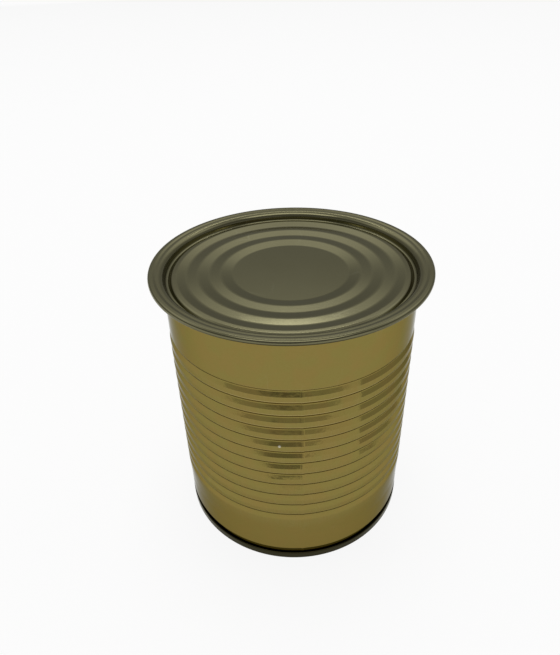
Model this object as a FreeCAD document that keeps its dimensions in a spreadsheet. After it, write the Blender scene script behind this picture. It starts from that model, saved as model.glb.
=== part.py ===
import FreeCAD, Part
import math
import os
import Sketcher

# An empty food can of 99 mm class, as it waits on the packing line. A beaded tinplate body is
# closed below by a double-seamed end, and a second end, not yet seamed, lies loose in its mouth.
# Each of the three is one thin sheet: the line of one face is drawn, thickened by the sheet's
# gauge and turned about the can's axis. Millimetres; +Z is up, the axis is Z and the foot is z = 0.

SIZES = [
    ("can_height", 117.6, "foot to the crest of the loose end's rim"),
    ("body_radius", 49.5, "outer face of the plain wall"),
    ("body_gauge", 0.20, "sheet of the body"),
    ("end_gauge", 0.22, "sheet of both ends"),
    ("bead_pitch", 5.9, "groove to groove"),
    ("bead_depth", 0.80, "rib crest to the bottom of a groove"),
    ("rib_rise", 0.30, "rib crest outside the plain wall"),
    ("rib_flat", 2.3, "flat of a rib"),
    ("groove_wall", 1.4, "height of a groove's steep upper wall"),
    ("rib_bend", 0.7, "radius at a rib's edge"),
    ("groove_bend", 0.9, "radius at the bottom of a groove"),
    ("top_band", 24.6, "rim's crest to the bottom of the highest groove"),
    ("foot_band", 26.0, "least height of the lowest groove over the foot"),
    ("last_rib", 2.0, "flat of the rib below the cluster"),
    ("run_out", 8.0, "height over which the last rib fades into the wall"),
    ("run_out_bend", 12.0, "radius at both ends of that fade"),
    ("flange_width", 2.5, "body's flange outside the plain wall"),
    ("flange_bend", 2.0, "radius under the flange"),
    ("neck_height", 3.2, "top of the double seam to where the wall turns in"),
    ("neck_drop", 0.8, "height of the neck's slope"),
    ("neck_bend", 0.8, "radius of both turns of the neck"),
    ("seam_stand", 0.1, "double seam outside the plain wall"),
    ("seam_height", 3.3, "foot to the top of the double seam"),
    ("seam_gap", 0.06, "compound between two layers of the seam"),
    ("foot_bend", 0.46, "radius at both edges of the foot"),
    ("seam_top_bend", 0.34, "radius over the top of the seam"),
    ("fold_gap", 0.08, "the end's foot to the body's fold over it"),
    ("body_fold_bend", 0.12, "radius inside the body's fold"),
    ("cover_hook_gap", 0.45, "body's fold to the cover hook's edge over it"),
    ("body_hook_gap", 0.48, "body hook's edge to the end's turn over it"),
    ("lap_width", 1.0, "width of the welded lap"),
    ("lap_rise", 0.10, "lap outside the wall"),
    ("lap_azimuth", -86.8, "turn of the lap about Z from +X, degrees"),
    ("panel_margin", 26.6, "plain wall to the flat centre of an end"),
    ("disc_depth", 4.6, "rim to the flat centre"),
    ("ring_run", 4.42, "width of each slope of the expansion rings"),
    ("ring_rise", 0.85, "rise of each inner slope, going outwards"),
    ("ring_dip", 0.42, "fall of each outer slope, going outwards"),
    ("ring_count", 2, "expansion rings"),
    ("ring_bend", 5.0, "radius of the rings"),
    ("last_run", 3.6, "width of the slope up to the panel's shoulder"),
    ("shoulder_bend", 0.9, "radius at the panel's edge"),
    ("countersink_depth", 4.1, "rim to the bottom of the countersink"),
    ("countersink_width", 1.6, "between the two corners of the countersink"),
    ("countersink_bend", 1.1, "radius at those corners"),
    ("panel_wall", 1.1, "width of the slope from countersink to shoulder"),
    ("chuck_draft", 0.35, "lean of the chuck wall"),
    ("plug_clearance", 0.25, "loose end's chuck wall to the body"),
    ("rim_dip", 0.28, "seat of the loose end below its rim's crest"),
    ("seat_width", 2.4, "seat outside the plain wall"),
    ("seat_slope", 0.9, "width of the rise from the seat to the crest"),
    ("seat_bend", 0.8, "radius at both ends of that rise"),
    ("curl_width", 5.2, "loose end's curl outside the plain wall"),
    ("curl_height", 2.1, "rim's crest to the bottom of the curl"),
    ("curl_bend", 0.7, "radius inside the curl"),
    ("curl_return", 0.9, "how far the curl turns back in"),
]


class Size:
    """A length with the formula that binds it to the sheet of sizes."""

    def __init__(self, value, formula):
        self.value = value
        self.formula = formula

    def joined(self, sign, other, value):
        return Size(value, "(" + self.formula + " " + sign + " " + as_size(other).formula + ")")

    def __add__(self, other):
        return self.joined("+", other, self.value + as_size(other).value)

    def __sub__(self, other):
        return self.joined("-", other, self.value - as_size(other).value)

    def __mul__(self, other):
        return self.joined("*", other, self.value * as_size(other).value)

    def __truediv__(self, other):
        return self.joined("/", other, self.value / as_size(other).value)


def as_size(number):
    return number if isinstance(number, Size) else Size(float(number), str(number))


doc = FreeCAD.newDocument("tin_can")
sheet = doc.addObject("Spreadsheet::Sheet", "sizes")
for row, (alias, number, meaning) in enumerate(SIZES, start=1):
    sheet.set("A" + str(row), str(number))
    sheet.set("B" + str(row), meaning)
    sheet.setAlias("A" + str(row), alias)
doc.recompute()


def size(alias):
    return Size(float(sheet.get(alias)), "sizes." + alias)


def face_line(name, corners):
    """Sketch in the XZ plane of one face of a sheet: straight runs through the corners, given as
    (radius, height, bend), joined by tangent arcs. The metal lies to the left of the line."""
    sketch = doc.addObject("Sketcher::SketchObject", name)
    sketch.Placement = FreeCAD.Placement(FreeCAD.Vector(), FreeCAD.Rotation(FreeCAD.Vector(1, 0, 0), 90))
    points = [FreeCAD.Vector(x.value, z.value, 0) for x, z, bend in corners]
    ends = [[point, point] for point in points]
    arcs = []
    for i in range(1, len(corners) - 1):
        back = (points[i - 1] - points[i]).normalize()
        ahead = (points[i + 1] - points[i]).normalize()
        half = back.getAngle(ahead) / 2
        bend = corners[i][2].value
        ends[i] = [points[i] + back * (bend / math.tan(half)), points[i] + ahead * (bend / math.tan(half))]
        middle = points[i] + (back + ahead).normalize() * (bend / math.sin(half))
        left_turn = back.cross(ahead).z < 0
        first, last = ends[i] if left_turn else reversed(ends[i])
        start = math.atan2(first.y - middle.y, first.x - middle.x)
        stop = math.atan2(last.y - middle.y, last.x - middle.x)
        circle = Part.Circle(middle, FreeCAD.Vector(0, 0, 1), bend)
        arcs.append((Part.ArcOfCircle(circle, start, stop), left_turn))

    lines = [Part.LineSegment(ends[i][1], ends[i + 1][0]) for i in range(len(points) - 1)]
    sketch.addGeometry(lines + [arc for arc, left_turn in arcs], False)
    first_arc = len(lines)
    first_mark = first_arc + len(arcs)
    sketch.addGeometry([Part.Point(point) for point in points], True)

    rules = []
    bound = []

    def bind(rule, length):
        bound.append((len(rules), length.formula))
        rules.append(rule)

    for i, (x, z, bend) in enumerate(corners):
        mark = first_mark + i
        if x.value == 0:
            rules.append(Sketcher.Constraint("PointOnObject", mark, 1, -2))
        else:
            bind(Sketcher.Constraint("DistanceX", -1, 1, mark, 1, x.value), x)
        if z.value == 0:
            rules.append(Sketcher.Constraint("PointOnObject", mark, 1, -1))
        else:
            bind(Sketcher.Constraint("DistanceY", -1, 1, mark, 1, z.value), z)
    rules.append(Sketcher.Constraint("Coincident", 0, 1, first_mark, 1))
    rules.append(Sketcher.Constraint("Coincident", len(lines) - 1, 2, first_mark + len(points) - 1, 1))
    for i, (arc, left_turn) in enumerate(arcs, start=1):
        number = first_arc + i - 1
        rules.append(Sketcher.Constraint("PointOnObject", first_mark + i, 1, i - 1))
        rules.append(Sketcher.Constraint("PointOnObject", first_mark + i, 1, i))
        rules.append(Sketcher.Constraint("Tangent", i - 1, 2, number, 1 if left_turn else 2))
        rules.append(Sketcher.Constraint("Tangent", number, 2 if left_turn else 1, i, 1))
        bind(Sketcher.Constraint("Radius", number, corners[i][2].value), corners[i][2])
    sketch.addConstraint(rules)
    for index, formula in bound:
        sketch.setExpression("Constraints[" + str(index) + "]", formula)
    return sketch


def turned_sheet(name, corners, gauge):
    """The sheet whose face runs through the corners, turned right round the can's axis."""
    section = doc.addObject("Part::Offset2D", name + "_section")
    section.Source = face_line(name + "_line", corners)
    section.Mode = "Skin"
    section.Fill = True
    section.setExpression("Value", gauge.formula)
    solid = doc.addObject("Part::Revolution", name)
    solid.Source = section
    solid.Axis = FreeCAD.Vector(0, 0, 1)
    solid.Angle = 360
    solid.Solid = True
    return solid


# Layers of the double seam, counted outwards from the bottom end's chuck wall.
seam_radius = size("body_radius") + size("seam_stand")
seam_thickness = size("end_gauge") * 3 + size("body_gauge") * 2 + size("seam_gap") * 4
chuck_face = seam_radius - seam_thickness
neck_inside = chuck_face + size("end_gauge") + size("seam_gap")
neck_outside = neck_inside + size("body_gauge")
cover_hook = neck_outside + size("seam_gap")
body_hook = cover_hook + size("end_gauge") + size("seam_gap")
body_fold = size("end_gauge") + size("fold_gap") + size("body_gauge")
body_hook_end = size("seam_height") - size("end_gauge") - size("body_hook_gap")
neck_top = size("seam_height") + size("neck_height")

rib_crest = size("body_radius") + size("rib_rise")
groove_radius = rib_crest - size("bead_depth")
mouth = size("bead_pitch") - size("rib_flat")
groove_slope = mouth - size("groove_wall")
highest_groove = size("can_height") - size("top_band")
bead_count = int(((highest_groove - size("foot_band")) / size("bead_pitch")).value) + 1
lowest_groove = highest_groove - size("bead_pitch") * (bead_count - 1)
seat_height = size("can_height") - size("end_gauge") - size("rim_dip")


def groove_corners(inset, bottom, upper_radius, upper_height):
    """One groove, a long slope under a steep wall, on a line that lies the inset inside the wall's
    outer face. The upper corner is given, as the highest groove meets the plain wall."""
    return [
        (rib_crest - inset, bottom - groove_slope, size("rib_bend")),
        (groove_radius - inset, bottom, size("groove_bend")),
        (upper_radius - inset, upper_height, size("rib_bend")),
    ]


def foot_wall_corners(inset):
    """The neck over the seam, the plain band and the rib that fades into it."""
    top = lowest_groove - groove_slope - size("rib_flat") / 2
    fade_top = lowest_groove - groove_slope - size("last_rib")
    return [
        (neck_outside - inset, neck_top - size("neck_drop"), size("neck_bend")),
        (size("body_radius") - inset, neck_top, size("neck_bend")),
        (size("body_radius") - inset, fade_top - size("run_out"), size("run_out_bend")),
        (rib_crest - inset, fade_top, size("run_out_bend")),
        (rib_crest - inset, top, None),
    ]


def bead_corners(inset):
    """One groove between the middles of two ribs, with its bottom at height 0."""
    low = as_size(0) - groove_slope - size("rib_flat") / 2
    high = size("groove_wall") + size("rib_flat") / 2
    corners = groove_corners(inset, as_size(0), rib_crest, size("groove_wall"))
    return [(rib_crest - inset, low, None)] + corners + [(rib_crest - inset, high, None)]


def top_wall_corners(inset):
    """The highest groove, from the middle of the rib below it to the plain band above it."""
    wall_left = size("groove_wall") * (size("bead_depth") - size("rib_rise")) / size("bead_depth")
    start = (rib_crest - inset, highest_groove - groove_slope - size("rib_flat") / 2, None)
    return [start] + groove_corners(inset, highest_groove, size("body_radius"), highest_groove + wall_left)


def lapped_wall(name, wall_corners, lap_corners):
    """A stretch of the body's wall with the welded lap, the sheet's second layer, up its outside.
    The lap starts at the middle of the sheet, so that it is one with the wall."""
    inset = size("body_gauge") / 2
    wall = turned_sheet(name + "_sheet", wall_corners, size("body_gauge"))
    lap = turned_sheet(name + "_lap", lap_corners(inset)[::-1], inset + size("lap_rise"))
    lap.setExpression("Angle", "sizes.lap_width / sizes.body_radius * 180 / pi")
    lap.setExpression("Placement.Rotation.Angle", "sizes.lap_azimuth")
    stretch = doc.addObject("Part::Fuse", name)
    stretch.Base = wall
    stretch.Tool = lap
    return stretch


def can_body():
    fold = size("body_fold_bend")
    hook = [
        (body_hook, body_hook_end, None),
        (body_hook, body_fold, fold),
        (neck_outside, body_fold, fold),
    ]
    flange = seat_height - size("body_gauge")
    edge = size("body_radius") + size("flange_width")
    rim = [(size("body_radius"), flange, size("flange_bend")), (edge, flange, None)]

    def foot_lap(inset):
        return [(neck_outside - inset, size("seam_height") + size("seam_gap"), None)] + foot_wall_corners(inset)

    def top_lap(inset):
        end = (size("body_radius") - inset, flange - size("flange_bend") * 2, None)
        return top_wall_corners(inset) + [end]

    plain = as_size(0)
    stretches = [
        lapped_wall("foot_wall", hook + foot_wall_corners(plain), foot_lap),
        lapped_wall("top_wall", top_wall_corners(plain) + rim, top_lap),
    ]
    bead = lapped_wall("bead", bead_corners(plain), bead_corners)
    for i in range(1, bead_count):
        ring = doc.addObject("App::Link", "bead_" + str(i))
        ring.LinkedObject = bead
        ring.LinkTransform = False
        ring.setExpression("Placement.Base.z", (highest_groove - size("bead_pitch") * i).formula)
        stretches.append(ring)
    body = doc.addObject("Part::MultiFuse", "can_body")
    body.Shapes = stretches
    body.Refine = True
    return body


def panel_corners(chuck_foot, level):
    """An end's panel from its centre to the foot of the chuck wall; level gives the height of a
    point that lies a given depth inside the rim."""
    radius = size("body_radius") - size("panel_margin")
    depth = size("disc_depth")
    bend = size("ring_bend")
    corners = [(as_size(0), level(depth), None), (radius, level(depth), bend)]
    for ring in range(int(size("ring_count").value)):
        radius = radius + size("ring_run")
        depth = depth - size("ring_rise")
        corners.append((radius, level(depth), bend))
        radius = radius + size("ring_run")
        depth = depth + size("ring_dip")
        corners.append((radius, level(depth), bend))
    depth = depth - size("ring_rise")
    countersink = chuck_foot - size("countersink_width")
    corners.append((radius + size("last_run"), level(depth), bend / 2))
    corners.append((countersink - size("panel_wall"), level(depth), size("shoulder_bend")))
    corners.append((countersink, level(size("countersink_depth")), size("countersink_bend")))
    corners.append((chuck_foot, level(size("countersink_depth")), size("countersink_bend")))
    return corners


def bottom_end():
    foot = as_size(0)
    corners = panel_corners(chuck_face - size("chuck_draft"), lambda depth: depth)
    corners.append((chuck_face, foot, size("foot_bend")))
    corners.append((seam_radius, foot, size("foot_bend")))
    corners.append((seam_radius, size("seam_height"), size("seam_top_bend")))
    corners.append((cover_hook, size("seam_height"), size("seam_top_bend")))
    corners.append((cover_hook, body_fold + size("cover_hook_gap"), None))
    return turned_sheet("bottom_end", corners, size("end_gauge"))


def lid():
    underside = size("can_height") - size("end_gauge")
    plug = size("body_radius") - size("body_gauge") - size("plug_clearance")
    seat_edge = size("body_radius") + size("seat_width")
    curl_inside = size("body_radius") + size("curl_width") - size("end_gauge")
    curl_bottom = size("can_height") - size("curl_height") + size("end_gauge")
    corners = panel_corners(plug - size("chuck_draft"), lambda depth: underside - depth)
    corners.append((plug, seat_height, size("flange_bend") + size("body_gauge")))
    corners.append((seat_edge, seat_height, size("seat_bend")))
    corners.append((seat_edge + size("seat_slope"), underside, size("seat_bend")))
    corners.append((curl_inside, underside, size("curl_bend")))
    corners.append((curl_inside, curl_bottom, size("curl_bend")))
    corners.append((curl_inside - size("curl_return"), curl_bottom, None))
    return turned_sheet("lid", corners, size("end_gauge"))


pieces = [can_body(), bottom_end(), lid()]
for piece in pieces:
    piece.Label = piece.Name

doc.recompute()
for item in doc.Objects:
    if "Invalid" in item.State or "Error" in item.State:
        raise RuntimeError(item.Name + " failed: " + str(item.State))
for piece in pieces:
    if piece.Shape.isNull() or not piece.Shape.isValid() or len(piece.Shape.Solids) != 1:
        raise RuntimeError(piece.Label + " isn't one valid solid")

os.makedirs("parts", exist_ok=True)
for piece in pieces:
    piece.Shape.exportStep(os.path.join("parts", piece.Label + ".step"))
    box = piece.Shape.BoundBox
    print(piece.Label, round(piece.Shape.Volume, 1), "mm3, z", round(box.ZMin, 3), "to", round(box.ZMax, 3))
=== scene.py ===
import math

import bmesh
import bpy
from mathutils import Matrix, Vector


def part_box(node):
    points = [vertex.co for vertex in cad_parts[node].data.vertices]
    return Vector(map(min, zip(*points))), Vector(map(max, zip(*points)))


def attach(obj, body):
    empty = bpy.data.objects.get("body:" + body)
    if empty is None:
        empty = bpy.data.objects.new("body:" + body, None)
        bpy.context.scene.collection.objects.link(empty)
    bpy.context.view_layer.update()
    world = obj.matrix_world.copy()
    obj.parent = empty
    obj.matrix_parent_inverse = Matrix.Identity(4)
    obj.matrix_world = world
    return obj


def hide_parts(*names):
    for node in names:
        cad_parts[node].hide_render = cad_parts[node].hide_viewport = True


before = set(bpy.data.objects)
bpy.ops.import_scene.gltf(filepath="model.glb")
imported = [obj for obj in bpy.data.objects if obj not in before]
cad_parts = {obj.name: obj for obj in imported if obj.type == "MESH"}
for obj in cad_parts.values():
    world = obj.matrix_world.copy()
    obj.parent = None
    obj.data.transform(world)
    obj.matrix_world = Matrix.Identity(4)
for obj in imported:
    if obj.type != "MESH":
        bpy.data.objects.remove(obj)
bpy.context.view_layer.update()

# An empty food can: a beaded body in gold lacquer, a double-seamed end below it and a loose end in
# its mouth, both in a grey-green end lacquer. Each is one thin sheet, turned about the Z axis.
# Lengths are millimetres until a mesh is made; +Z is up and -Y is the can's front.
MM = 0.001

SEAM_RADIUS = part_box("bottom_end")[1][0] / MM
CURL_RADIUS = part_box("lid")[1][0] / MM
CAN_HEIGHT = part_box("lid")[1][2] / MM

BODY_GAUGE = 0.20
END_GAUGE = 0.22
BODY_RADIUS = 49.5
FLANGE_RADIUS = 52.0
FLANGE_BEND = 2.0

# The bead cluster. The wall above each groove turns gently into the rib.
BEADS = 12
BEAD_PITCH = 5.9
BEAD_DEPTH = 0.80
RIB_CREST = 49.8
RIB_FLAT = 2.3
RIB_BEND = 0.7
WALL_BEND = 1.6
GROOVE_BEND = 0.9
GROOVE_WALL = 1.4
GROOVE_SLOPE = BEAD_PITCH - RIB_FLAT - GROOVE_WALL
GROOVE_RADIUS = RIB_CREST - BEAD_DEPTH
TOP_GROOVE = 93.0
LOWEST_GROOVE = TOP_GROOVE - BEAD_PITCH * (BEADS - 1)
FADE_GAP = 2.0      # plain wall between the lowest groove's slope and the fade below it
FADE_HEIGHT = 8.0   # where the body swells from its plain radius to the rib crest
FADE_BEND = 12.0

# The double seam, layer by layer from the chuck wall outwards, and the neck above it.
SEAM_GAP = 0.06
SEAM_HEIGHT = 3.3
CHUCK_FACE = SEAM_RADIUS - 3 * END_GAUGE - 2 * BODY_GAUGE - 4 * SEAM_GAP
NECK_OUTSIDE = CHUCK_FACE + END_GAUGE + SEAM_GAP + BODY_GAUGE
COVER_HOOK = NECK_OUTSIDE + SEAM_GAP
BODY_HOOK = COVER_HOOK + END_GAUGE + SEAM_GAP
COVER_HOOK_END = 0.95
BODY_HOOK_SHORT = 0.48
FOLD_GAP = 0.08
FOLD_BEND = 0.12
SEAM_FOOT_BEND = 0.46
SEAM_TOP_BEND = 0.34
NECK_FOOT = 5.7
NECK_TOP = 6.5
NECK_BEND = 0.8

# The panel that both ends share. Depths are below the end's rim.
DISC_RADIUS = 22.9
DISC_DEPTH = 4.6
RINGS = 2
RING_RUN = 4.42
RING_RISE = 0.85
RING_STEP = 0.43
RING_BEND = 5.0
SHOULDER_RUN = 3.6
SHOULDER_RISE = 0.85
SHOULDER_EDGE_RISE = 0.75
SHOULDER_EDGE = 2.7
SHOULDER_BEND = 2.5
SHOULDER_EDGE_BEND = 0.9
COUNTERSINK = 4.1
COUNTERSINK_WIDTH = 1.6
COUNTERSINK_BEND = 1.1
CHUCK_LEAN = 0.35

# The loose end's rim: its seat lies on the flange, and its curl was never rolled into a seam.
PLUG_GAP = 0.25
SEAT_DROP = 0.28
SEAT_EDGE = 51.9
CREST_EDGE = 52.8
CREST_BEND = 0.8
CURL_HEIGHT = 2.1
CURL_BEND = 0.7
CURL_LIP = 0.9

# The welded lap up the front of the body, and how flat the sheet stays beside it.
LAP_AZIMUTH = math.radians(-86.22)
LAP_WIDTH = 1.0
LAP_RISE = 0.10
LAP_EDGE = 0.3
LAP_FLAT = math.radians(3.2)
LAP_FRONT = -0.04           # metres: faces in front of this y are cut along the lap
SPIN_PAST_LAP = math.radians(5.4)

SHARP = math.radians(40)


# ---- Sheets ----

def face_line(bm, corners, segments):
    """One face of a sheet in section: straight runs through the corners, given as (radius, height,
    bend), with each corner rounded to its bend."""
    marks = [bm.verts.new((r * MM, 0, z * MM)) for r, z, bend in corners]
    for start, end in zip(marks, marks[1:]):
        bm.edges.new((start, end))
    places = [Vector((r, z)) for r, z, bend in corners]
    for i in range(1, len(corners) - 1):
        turn = (places[i] - places[i - 1]).angle(places[i + 1] - places[i])
        reach = corners[i][2] * math.tan(turn / 2) * MM
        steps = max(3, math.ceil(segments * turn / math.pi))
        bmesh.ops.bevel(bm, geom=[marks[i]], offset=reach, offset_type="OFFSET", segments=steps,
                        profile=0.5, affect="VERTICES", clamp_overlap=False, material=-1)


def turned(corners, segments, steps, start=0.0):
    """The line turned right round the axis, as an open skin."""
    bm = bmesh.new()
    face_line(bm, corners, segments)
    bmesh.ops.rotate(bm, verts=bm.verts, cent=(0, 0, 0), matrix=Matrix.Rotation(start, 3, "Z"))
    bmesh.ops.spin(bm, geom=bm.verts[:] + bm.edges[:], cent=(0, 0, 0), axis=(0, 0, 1),
                   angle=math.tau, steps=steps, use_merge=True, use_duplicate=False)
    bmesh.ops.remove_doubles(bm, verts=bm.verts, dist=1e-7)
    bmesh.ops.recalc_face_normals(bm, faces=bm.faces)
    return bm


def outward(bm, place, direction):
    """Turns the skin so that its face nearest the place looks along the direction."""
    place = Vector(place) * MM
    nearest = min(bm.faces, key=lambda face: (face.calc_center_median() - place).length)
    if nearest.normal.dot(Vector(direction)) < 0:
        bmesh.ops.reverse_faces(bm, faces=bm.faces)


def thick(bm, gauge):
    """Gives the skin the sheet's gauge, on the side away from its normals."""
    bmesh.ops.solidify(bm, geom=bm.faces[:], thickness=gauge * MM)


def linked(name, data):
    """A new object in the scene's own collection."""
    made = bpy.data.objects.new(name, data)
    bpy.context.scene.collection.objects.link(made)
    return made


def piece(name, bm, material, node):
    """A finished mesh as the object that stands for the CAD node. Its flat runs keep their own
    normals, so that they mirror as flats between the bends."""
    for face in bm.faces:
        face.smooth = True
    for edge in bm.edges:
        edge.smooth = len(edge.link_faces) == 2 and edge.calc_face_angle() < SHARP
    mesh = bpy.data.meshes.new(name)
    bm.to_mesh(mesh)
    bm.free()
    mesh.materials.append(material)
    made = linked(name, mesh)
    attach(made, "root")
    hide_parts(node)
    flats = made.modifiers.new("true flats", "WEIGHTED_NORMAL")
    flats.mode = "FACE_AREA"
    flats.weight = 50
    flats.keep_sharp = True


# ---- The three pieces ----

def groove(bottom, upper_radius, upper_height):
    """A long slope under a steep wall."""
    return [
        (RIB_CREST, bottom - GROOVE_SLOPE, RIB_BEND),
        (GROOVE_RADIUS, bottom, GROOVE_BEND),
        (upper_radius, upper_height, WALL_BEND),
    ]


def body_line():
    """The body's outer face, from the hook in the double seam up to the flange."""
    fold = END_GAUGE + FOLD_GAP + BODY_GAUGE
    line = [
        (BODY_HOOK, SEAM_HEIGHT - END_GAUGE - BODY_HOOK_SHORT, None),
        (BODY_HOOK, fold, FOLD_BEND),
        (NECK_OUTSIDE, fold, FOLD_BEND),
        (NECK_OUTSIDE, NECK_FOOT, NECK_BEND),
        (BODY_RADIUS, NECK_TOP, NECK_BEND),
    ]
    fade_top = LOWEST_GROOVE - GROOVE_SLOPE - FADE_GAP
    line += [(BODY_RADIUS, fade_top - FADE_HEIGHT, FADE_BEND), (RIB_CREST, fade_top, FADE_BEND)]
    for i in range(BEADS - 1):
        bottom = LOWEST_GROOVE + i * BEAD_PITCH
        line += groove(bottom, RIB_CREST, bottom + GROOVE_WALL)
    wall_left = GROOVE_WALL * (BODY_RADIUS - GROOVE_RADIUS) / BEAD_DEPTH
    line += groove(TOP_GROOVE, BODY_RADIUS, TOP_GROOVE + wall_left)
    flange = CAN_HEIGHT - END_GAUGE - SEAT_DROP - BODY_GAUGE
    return line + [(BODY_RADIUS, flange, FLANGE_BEND), (FLANGE_RADIUS, flange, None)]


def raise_lap(bm):
    """Cuts the wall along both edges of the lap and lifts the strip between them. The sheet's two
    ends keep a little of their flatness, so the wall comes up to the lap along two tangents."""
    half = LAP_WIDTH / 2 / BODY_RADIUS
    edge = LAP_EDGE / BODY_RADIUS
    one_side = (half, half + edge, LAP_FLAT / 2, LAP_FLAT)
    for turn in [-cut for cut in reversed(one_side)] + list(one_side):
        angle = LAP_AZIMUTH + turn
        front = [face for face in bm.faces if face.calc_center_median().y < LAP_FRONT]
        near = {v for face in front for v in face.verts} | {e for face in front for e in face.edges}
        bmesh.ops.bisect_plane(bm, geom=list(near) + front, dist=1e-7, plane_co=(0, 0, 0),
                               plane_no=(-math.sin(angle), math.cos(angle), 0))
    for vert in bm.verts:
        turn = abs(math.atan2(vert.co.y, vert.co.x) - LAP_AZIMUTH)
        if vert.co.y > 0 or turn > LAP_FLAT or vert.co.z < SEAM_HEIGHT * MM:
            continue
        radius = math.hypot(vert.co.x, vert.co.y)
        lift = radius / math.cos(LAP_FLAT - turn) - radius
        if turn < half + edge / 2:
            lift += LAP_RISE * MM
        vert.co += Vector((vert.co.x, vert.co.y, 0)).normalized() * lift


def panel_line(chuck_foot, level):
    """An end's panel from its flat centre to the foot of the chuck wall; level turns a depth below
    the rim into a height."""
    radius, depth = DISC_RADIUS, DISC_DEPTH
    line = [(0, level(depth), None), (radius, level(depth), RING_BEND)]
    for ring in range(RINGS):
        line.append((radius + RING_RUN, level(depth - RING_RISE), RING_BEND))
        radius, depth = radius + 2 * RING_RUN, depth - RING_STEP
        line.append((radius, level(depth), RING_BEND))
    return line + [
        (radius + SHOULDER_RUN, level(depth - SHOULDER_RISE), SHOULDER_BEND),
        (chuck_foot - SHOULDER_EDGE, level(depth - SHOULDER_EDGE_RISE), SHOULDER_EDGE_BEND),
        (chuck_foot - COUNTERSINK_WIDTH, level(COUNTERSINK), COUNTERSINK_BEND),
        (chuck_foot, level(COUNTERSINK), COUNTERSINK_BEND),
    ]


def bottom_line():
    """The seamed end's outer face: panel, chuck wall, seam and cover hook."""
    line = panel_line(CHUCK_FACE - CHUCK_LEAN, lambda depth: depth)
    return line + [
        (CHUCK_FACE, 0, SEAM_FOOT_BEND),
        (SEAM_RADIUS, 0, SEAM_FOOT_BEND),
        (SEAM_RADIUS, SEAM_HEIGHT, SEAM_TOP_BEND),
        (COVER_HOOK, SEAM_HEIGHT, SEAM_TOP_BEND),
        (COVER_HOOK, COVER_HOOK_END, None),
    ]


def lid_line():
    """The loose end's lower face: panel, chuck wall, seat, crest and open curl."""
    plug = BODY_RADIUS - BODY_GAUGE - PLUG_GAP
    rim = CAN_HEIGHT - END_GAUGE
    curl_inside = CURL_RADIUS - END_GAUGE
    curl_bottom = CAN_HEIGHT - CURL_HEIGHT + END_GAUGE
    line = panel_line(plug - CHUCK_LEAN, lambda depth: rim - depth)
    return line + [
        (plug, rim - SEAT_DROP, FLANGE_BEND + BODY_GAUGE),
        (SEAT_EDGE, rim - SEAT_DROP, CREST_BEND),
        (CREST_EDGE, rim, CREST_BEND),
        (curl_inside, rim, CURL_BEND),
        (curl_inside, curl_bottom, CURL_BEND),
        (curl_inside - CURL_LIP, curl_bottom, None),
    ]


# ---- Finishes ----

def shader_group(name, inputs, outputs):
    """A node group with number sockets, and its two ends."""
    tree = bpy.data.node_groups.new(name, "ShaderNodeTree")
    for label, value in inputs:
        socket = tree.interface.new_socket(label, in_out="INPUT", socket_type="NodeSocketFloat")
        socket.default_value = value
    for label in outputs:
        tree.interface.new_socket(label, in_out="OUTPUT", socket_type="NodeSocketFloat")
    return tree, tree.nodes.new("NodeGroupInput"), tree.nodes.new("NodeGroupOutput")


def add(tree, kind, links=(), **settings):
    """A node with its settings; links gives (input, value or output socket)."""
    node = tree.nodes.new(kind)
    for key, value in settings.items():
        setattr(node, key, value)
    for key, value in links:
        if isinstance(value, bpy.types.NodeSocket):
            tree.links.new(value, node.inputs[key])
        else:
            node.inputs[key].default_value = value
    return node


def calc(tree, operation, *values):
    return add(tree, "ShaderNodeMath", enumerate(values), operation=operation).outputs[0]


def spread(tree, value, low, high, to_low=0.0, to_high=1.0):
    """value mapped smoothly from low..high to to_low..to_high."""
    links = [("Value", value), ("From Min", low), ("From Max", high),
             ("To Min", to_low), ("To Max", to_high)]
    return add(tree, "ShaderNodeMapRange", links, interpolation_type="SMOOTHSTEP").outputs["Result"]


def mix(tree, factor, first, second):
    links = [(0, factor), (6, first), (7, second)]
    return add(tree, "ShaderNodeMix", links, data_type="RGBA").outputs[2]


def object_place(tree):
    return add(tree, "ShaderNodeTexCoord").outputs["Object"]


def turned_place(tree):
    """A point on the can, its radius and its height, in metres."""
    place = object_place(tree)
    x, y, height = add(tree, "ShaderNodeSeparateXYZ", [(0, place)]).outputs
    squares = calc(tree, "ADD", calc(tree, "MULTIPLY", x, x), calc(tree, "MULTIPLY", y, y))
    return place, calc(tree, "SQRT", squares), height


def rolled_grain():
    """The grain that rolling leaves in tinplate: fine streaks along one axis of the sheet."""
    tree, given, out = shader_group("rolled_grain", [("Fineness", 6000.0), ("Stretch", 0.04)], ["Value"])
    x, y, z = add(tree, "ShaderNodeSeparateXYZ", [(0, object_place(tree))]).outputs
    squeezed = calc(tree, "MULTIPLY", z, given.outputs["Stretch"])
    joined = add(tree, "ShaderNodeCombineXYZ", [(0, x), (1, y), (2, squeezed)]).outputs[0]
    noise = add(tree, "ShaderNodeTexNoise",
                [("Vector", joined), ("Scale", given.outputs["Fineness"]), ("Detail", 2.0)])
    tree.links.new(noise.outputs["Fac"], out.inputs["Value"])
    return tree


def mottle():
    """Cloudy unevenness of a lacquer film, coarse and fine."""
    tree, given, out = shader_group("mottle", [("Coarse", 60.0), ("Fine", 900.0)], ["Clouds", "Specks"])
    place = object_place(tree)
    for label, scale in (("Clouds", "Coarse"), ("Specks", "Fine")):
        noise = add(tree, "ShaderNodeTexNoise",
                    [("Vector", place), ("Scale", given.outputs[scale]), ("Detail", 3.0)])
        tree.links.new(noise.outputs["Fac"], out.inputs[label])
    return tree


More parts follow.
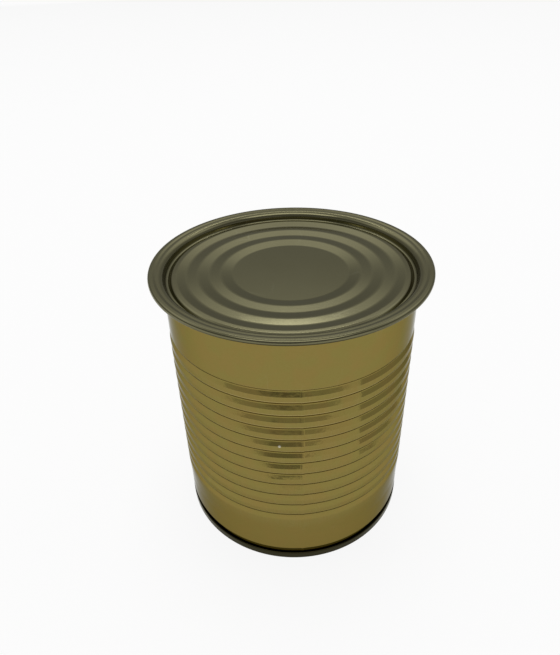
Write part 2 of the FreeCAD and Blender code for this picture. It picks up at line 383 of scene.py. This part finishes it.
def hairlines():
    """Sparse fine scuffs from handling."""
    tree, given, out = shader_group("hairlines", [("Scale", 90.0), ("Width", 0.012)], ["Mask"])
    place = object_place(tree)
    bent = add(tree, "ShaderNodeTexNoise", [("Vector", place), ("Scale", 35.0), ("Detail", 1.0)])
    swayed = add(tree, "ShaderNodeVectorMath", [(0, bent.outputs["Color"]), (1, (0.02, 0.02, 0.006))],
                 operation="MULTIPLY").outputs[0]
    moved = add(tree, "ShaderNodeVectorMath", [(0, place), (1, swayed)], operation="ADD").outputs[0]
    cells = add(tree, "ShaderNodeTexVoronoi", [("Vector", moved), ("Scale", given.outputs["Scale"])],
                feature="DISTANCE_TO_EDGE")
    line = calc(tree, "LESS_THAN", cells.outputs["Distance"], given.outputs["Width"])
    patches = add(tree, "ShaderNodeTexNoise", [("Vector", place), ("Scale", 45.0), ("Detail", 2.0)])
    some = spread(tree, patches.outputs["Fac"], 0.56, 0.66)
    tree.links.new(calc(tree, "MULTIPLY", line, some), out.inputs["Mask"])
    return tree


GRAIN = rolled_grain()
MOTTLE = mottle()
HAIRLINES = hairlines()


def use(tree, group, **values):
    node = add(tree, "ShaderNodeGroup", node_tree=group)
    for key, value in values.items():
        node.inputs[key].default_value = value
    return node


def metal(name, roughness, edge_tint):
    """A lacquered metal whose colour and roughness come from nodes. The film takes some of the light
    that bare metal would throw back at a grazing angle, which edge_tint gives."""
    material = bpy.data.materials.new(name)
    material.use_nodes = True
    tree = material.node_tree
    shader = tree.nodes["Principled BSDF"]
    shader.inputs["Metallic"].default_value = 1.0
    shader.inputs["Roughness"].default_value = roughness
    shader.inputs["Specular Tint"].default_value = edge_tint
    return material, tree, shader


def uneven(tree, shader, height, strength, distance):
    """Tilts the shader's normal by the height."""
    bump = add(tree, "ShaderNodeBump", [("Height", height), ("Strength", strength), ("Distance", distance)])
    tree.links.new(bump.outputs[0], shader.inputs["Normal"])


# Reflectances of the gold lacquer on bright tinplate, with painted shade at the foot and neck and a painted
# highlight on the groove walls.
GOLD_WARM = (0.262, 0.194, 0.056, 1)
GOLD_GREEN = (0.246, 0.202, 0.056, 1)
GOLD_SPECKS = (0.236, 0.18, 0.047, 1)
GOLD_FOOT_SHADE = (0.252, 0.184, 0.048, 1)
GOLD_WORN = (0.29, 0.235, 0.085, 1)
GOLD_WALL_HIGHLIGHT = (0.48, 0.385, 0.165, 1)
GOLD_NECK_SHADE = (0.05, 0.035, 0.005, 1)
GOLD_SCUFFED = (0.36, 0.31, 0.15, 1)
BARE_TIN = (0.75, 0.72, 0.6, 1)
CHIP = (-0.0051, -0.0495, 0.0673)   # metres: the one bare spot, on the front


def gold_lacquer():
    material, tree, shader = metal("gold_lacquer", 0.1, (0.55, 0.55, 0.50, 1))
    place, radius, height = turned_place(tree)
    film = use(tree, MOTTLE, Coarse=140.0, Fine=1400.0)
    clouds, specks = film.outputs["Clouds"], film.outputs["Specks"]
    grain = use(tree, GRAIN, Fineness=2500.0, Stretch=0.05).outputs["Value"]
    tone = mix(tree, spread(tree, clouds, 0.35, 0.65), GOLD_WARM, GOLD_GREEN)
    tone = mix(tree, spread(tree, specks, 0.3, 0.7, 0.0, 0.35), tone, GOLD_SPECKS)
    # Painted shade: the gold turns a little darker and warmer towards the foot.
    tone = mix(tree, spread(tree, height, 0.012, 0.034, 0.7, 0.0), tone, GOLD_FOOT_SHADE)

    # The ribs' crests are a little worn. The walls above the grooves mirror the slopes below them, so a
    # painted highlight, a lighter tone on those walls, keeps them from looking like dark lines.
    crest = spread(tree, radius, 0.04966, 0.04979)
    worn = calc(tree, "MULTIPLY", crest, spread(tree, grain, 0.4, 0.7, 0.05, 0.3))
    tone = mix(tree, worn, tone, GOLD_WORN)
    rise = calc(tree, "SUBTRACT", height, LOWEST_GROOVE * MM)
    above_groove = calc(tree, "FRACT", calc(tree, "DIVIDE", rise, BEAD_PITCH * MM))
    wall_highlight = calc(tree, "MULTIPLY", spread(tree, above_groove, 0.05, 0.09),
                spread(tree, above_groove, 0.22, 0.28, 1.0, 0.0))
    beaded = calc(tree, "MULTIPLY", spread(tree, height, 0.0275, 0.0281),
                  spread(tree, height, 0.0936, 0.0940, 1.0, 0.0))
    tone = mix(tree, calc(tree, "MULTIPLY", wall_highlight, beaded), tone, GOLD_WALL_HIGHLIGHT)

    # Painted shade: a dark band on the neck, just above the seam.
    tone = mix(tree, spread(tree, height, 0.0060, 0.0070, 1.0, 0.0), tone, GOLD_NECK_SHADE)
    bare = add(tree, "ShaderNodeVectorMath", [(0, place), (1, CHIP)], operation="DISTANCE").outputs["Value"]
    tone = mix(tree, spread(tree, bare, 0.0003, 0.0007, 0.8, 0.0), tone, BARE_TIN)
    scuffs = use(tree, HAIRLINES).outputs["Mask"]
    tone = mix(tree, calc(tree, "MULTIPLY", scuffs, 0.12), tone, GOLD_SCUFFED)
    tree.links.new(tone, shader.inputs["Base Color"])

    rough = calc(tree, "ADD", spread(tree, grain, 0.3, 0.7, 0.075, 0.125),
                 calc(tree, "MULTIPLY", scuffs, 0.05))
    tree.links.new(rough, shader.inputs["Roughness"])
    ripples = calc(tree, "ADD", clouds, calc(tree, "MULTIPLY", grain, 0.02))
    uneven(tree, shader, ripples, 0.25, 0.0004)
    return material


# Reflectances of the ends' grey-green lacquer, and a painted shade tone.
END_DARK = (0.168, 0.158, 0.088, 1)
END_LIGHT = (0.180, 0.170, 0.097, 1)
END_SPECKS = (0.160, 0.150, 0.085, 1)
END_SCUFFED = (0.3, 0.29, 0.2, 1)
END_PAINTED_SHADE = (0.036, 0.032, 0.014, 1)


def end_lacquer():
    material, tree, shader = metal("end_lacquer", 0.13, (0.8, 0.8, 0.75, 1))
    place, radius, height = turned_place(tree)
    film = use(tree, MOTTLE, Coarse=40.0, Fine=1800.0)
    clouds, specks = film.outputs["Clouds"], film.outputs["Specks"]
    tone = mix(tree, spread(tree, clouds, 0.3, 0.7), END_DARK, END_LIGHT)
    tone = mix(tree, spread(tree, specks, 0.3, 0.7, 0.0, 0.4), tone, END_SPECKS)
    scuffs = use(tree, HAIRLINES, Scale=60.0, Width=0.008).outputs["Mask"]
    tone = mix(tree, calc(tree, "MULTIPLY", scuffs, 0.2), tone, END_SCUFFED)

    # A darker tone, fitted for the foot's seam and the curl's underside.
    # Painted shade: the seam and the curl's underside are darkened where shade falls near the foot and
    # under the curl.
    seam = calc(tree, "MULTIPLY", spread(tree, radius, 0.0484, 0.0487),
                spread(tree, height, 0.004, 0.006, 1.0, 0.0))
    under = calc(tree, "MULTIPLY", spread(tree, radius, 0.0535, 0.0538),
                 spread(tree, height, 0.1160, 0.1166, 1.0, 0.0))
    tone = mix(tree, calc(tree, "MAXIMUM", seam, under), tone, END_PAINTED_SHADE)
    tree.links.new(tone, shader.inputs["Base Color"])

    tree.links.new(spread(tree, specks, 0.3, 0.7, 0.12, 0.15), shader.inputs["Roughness"])
    uneven(tree, shader, specks, 0.02, 0.0001)
    return material


gold = gold_lacquer()
grey_green = end_lacquer()

body = turned(body_line(), 24, 172, LAP_AZIMUTH + SPIN_PAST_LAP)
outward(body, (0, BODY_RADIUS, 100), (0, 1, 0))
raise_lap(body)
thick(body, BODY_GAUGE)
piece("beaded_body", body, gold, "can_body")

bottom = turned(bottom_line(), 24, 200)
outward(bottom, (SEAM_RADIUS, 0, 1.6), (1, 0, 0))
thick(bottom, END_GAUGE)
piece("seamed_bottom", bottom, grey_green, "bottom_end")

loose = turned(lid_line(), 30, 240)
outward(loose, (10, 0, 113), (0, 0, -1))
thick(loose, END_GAUGE)
piece("loose_lid", loose, grey_green, "lid")


# ---- Studio, in metres ----

PAPER_MIRRORED_GLOW = 0.6
PAPER_SEEN_GLOW = 0.9

# Brightness of the tent by degrees above the horizon, behind the can and in front of it.
TENT_RADIUS = 4.0
TENT_STRENGTH = 1.2
TENT_BEHIND = ((0, 0.30), (14, 0.27), (22, 0.31), (29, 0.385), (32, 0.49), (36, 0.70), (40, 0.88),
               (46, 0.93), (50, 0.8), (56, 0.5), (69, 0.38), (90, 0.5))
TENT_FRONT = ((0, 0.30), (12, 0.30), (25, 0.15), (40, 0.2), (57, 0.5), (80, 0.6), (90, 0.5))

EYE = (0, -0.19368, 0.21601)
PITCH, YAW, ROLL = 0.590, -0.0248, -0.0302
LENS = 30.61


def empty_material(name):
    material = bpy.data.materials.new(name)
    material.use_nodes = True
    material.node_tree.nodes.clear()
    return material, material.node_tree


def glowing(tree, colour, strength):
    return add(tree, "ShaderNodeEmission", [("Color", colour), ("Strength", strength)]).outputs[0]


def finish_surface(tree, shader):
    add(tree, "ShaderNodeOutputMaterial", [("Surface", shader)])


def stage_plane(name, corners, material):
    mesh = bpy.data.meshes.new(name)
    bm = bmesh.new()
    bm.faces.new([bm.verts.new(corner) for corner in corners])
    bm.to_mesh(mesh)
    bm.free()
    mesh.materials.append(material)
    made = linked(name, mesh)
    return made


def paper():
    """White paper: it keeps the can's shadow, and looks clean white where nothing shades it."""
    material, tree = empty_material("paper")
    path = add(tree, "ShaderNodeLightPath").outputs
    mirrored = calc(tree, "MAXIMUM", path["Is Glossy Ray"], path["Is Transmission Ray"])
    share = calc(tree, "MAXIMUM", calc(tree, "MULTIPLY", mirrored, PAPER_MIRRORED_GLOW),
                 calc(tree, "MULTIPLY", path["Is Camera Ray"], PAPER_SEEN_GLOW))
    matt = add(tree, "ShaderNodeBsdfDiffuse", [("Color", (0.85, 0.85, 0.85, 1))]).outputs[0]
    links = [(0, share), (1, matt), (2, glowing(tree, (1, 1, 1, 1), 1.0))]
    finish_surface(tree, add(tree, "ShaderNodeMixShader", links).outputs[0])
    return material


def card(name, level, corners):
    """A card that glows with an even tone, which only the metal sees."""
    material, tree = empty_material(name)
    finish_surface(tree, glowing(tree, (level, level, level, 1), 1.0))
    made = stage_plane(name, corners, material)
    made.visible_camera = False
    made.visible_diffuse = False
    made.visible_shadow = False


def flat_card(name, level, height, outline):
    card(name, level, [(x, y, height) for x, y in outline])


def upright_card(name, level, y, left, right, low, high):
    card(name, level, [(left, y, low), (right, y, low), (right, y, high), (left, y, high)])


def level_ramp(tree, height, stops):
    """Brightness against the sine of the height above the horizon."""
    ramp = add(tree, "ShaderNodeValToRGB", [(0, height)])
    marks = ramp.color_ramp.elements
    marks[0].color = (stops[0][1],) * 3 + (1,)
    marks[1].color = (stops[-1][1],) * 3 + (1,)
    for degrees, level in stops[1:-1]:
        marks.new(math.sin(math.radians(degrees))).color = (level, level, level, 1)
    return ramp.outputs[0]


def tent():
    """A wide light tent: dim near the horizon, dimmer still in front, and soft light above. The
    camera looks through it to the white backdrop."""
    material, tree = empty_material("tent_cloth")
    aim = add(tree, "ShaderNodeVectorMath", [(0, object_place(tree))], operation="NORMALIZE").outputs[0]
    across, back, up = add(tree, "ShaderNodeSeparateXYZ", [(0, aim)]).outputs
    tone = mix(tree, spread(tree, back, -0.35, 0.25),
               level_ramp(tree, up, TENT_FRONT), level_ramp(tree, up, TENT_BEHIND))
    finish_surface(tree, glowing(tree, tone, TENT_STRENGTH))
    bm = bmesh.new()
    bmesh.ops.create_uvsphere(bm, u_segments=64, v_segments=32, radius=TENT_RADIUS)
    bmesh.ops.bisect_plane(bm, geom=bm.verts[:] + bm.edges[:] + bm.faces[:], plane_co=(0, 0, 0),
                           plane_no=(0, 0, -1), clear_outer=True)
    bmesh.ops.reverse_faces(bm, faces=bm.faces)
    mesh = bpy.data.meshes.new("tent")
    bm.to_mesh(mesh)
    bm.free()
    mesh.materials.append(material)
    made = linked("tent", mesh)
    made.visible_camera = False


def white_backdrop():
    world = bpy.data.worlds.new("studio")
    bpy.context.scene.world = world
    world.use_nodes = True
    backdrop = world.node_tree.nodes["Background"]
    backdrop.inputs["Color"].default_value = (1, 1, 1, 1)
    backdrop.inputs["Strength"].default_value = 1.0


def overhead_lamp():
    """A soft square lamp that gives the can its shadow and leaves no mirror image in it."""
    light = bpy.data.lights.new("overhead", "AREA")
    light.shape = "RECTANGLE"
    light.size, light.size_y = 0.8, 0.8
    light.energy = 14.0
    place, target = Vector((0.0, 0.3, 1.9)), Vector((0, 0, 0.1))
    made = linked("overhead", light)
    made.location = place
    made.rotation_euler = (target - place).to_track_quat("-Z", "Y").to_euler()
    made.visible_glossy = False


def camera():
    """A close view from a little above the front."""
    ahead = Vector((math.sin(YAW) * math.cos(PITCH), math.cos(YAW) * math.cos(PITCH), -math.sin(PITCH)))
    level = Vector((math.cos(YAW), -math.sin(YAW), 0))
    upright = level.cross(ahead)
    right = math.cos(ROLL) * level + math.sin(ROLL) * upright
    up = math.cos(ROLL) * upright - math.sin(ROLL) * level
    lens = bpy.data.cameras.new("camera")
    lens.sensor_width = 36
    lens.lens = LENS
    lens.clip_start = 0.005
    made = linked("camera", lens)
    made.matrix_world = Matrix.Translation(EYE) @ Matrix((right, up, -ahead)).transposed().to_4x4()
    bpy.context.scene.camera = made


stage_plane("floor", [(-5, -4, 0), (4, -4, 0), (4, 6, 0), (-5, 6, 0)], paper())

# Cloths on the floor, which the grooves' slopes mirror as dark patches.
flat_card("front_cloth", 0.56, 0.001, [
    (-3.4, -2.0), (-3.4, -3.8), (3.4, -3.8), (1.0, -1.15), (0.39, -0.76), (0.14, -0.57),
    (0.02, -0.34), (-0.10, -0.325), (-0.23, -0.42), (-0.54, -0.6), (-0.64, -0.46)])
flat_card("front_fold", 0.34, 0.002, [
    (-0.2, -0.45), (-0.25, -0.9), (0.03, -0.9), (0.03, -0.42), (0.01, -0.345), (-0.09, -0.335)])
flat_card("right_cloth", 0.52, 0.001, [(0.222, -0.165), (3.4, -2.25), (3.6, 3.0), (0.235, 3.0)])
upright_card("doorway", 0.23, -2.4, -1.25, 0.33, 0.002, 2.0)

# Panels above, which the lid's rings and rim mirror as highlights.
upright_card("soft_panel", 3.6, 0.15, -0.043, 0.045, 0.291, 0.333)
upright_card("left_end", 6.0, 0.15, -0.058, -0.043, 0.291, 0.31)
upright_card("right_end", 6.0, 0.15, 0.045, 0.06, 0.291, 0.31)
flat_card("sky_panel", 2.0, 1.5, [(-0.8, -0.9), (0.8, -0.9), (0.8, -0.25), (-0.8, -0.25)])

tent()
white_backdrop()
overhead_lamp()
camera()
bpy.context.scene.view_settings.view_transform = "Standard"
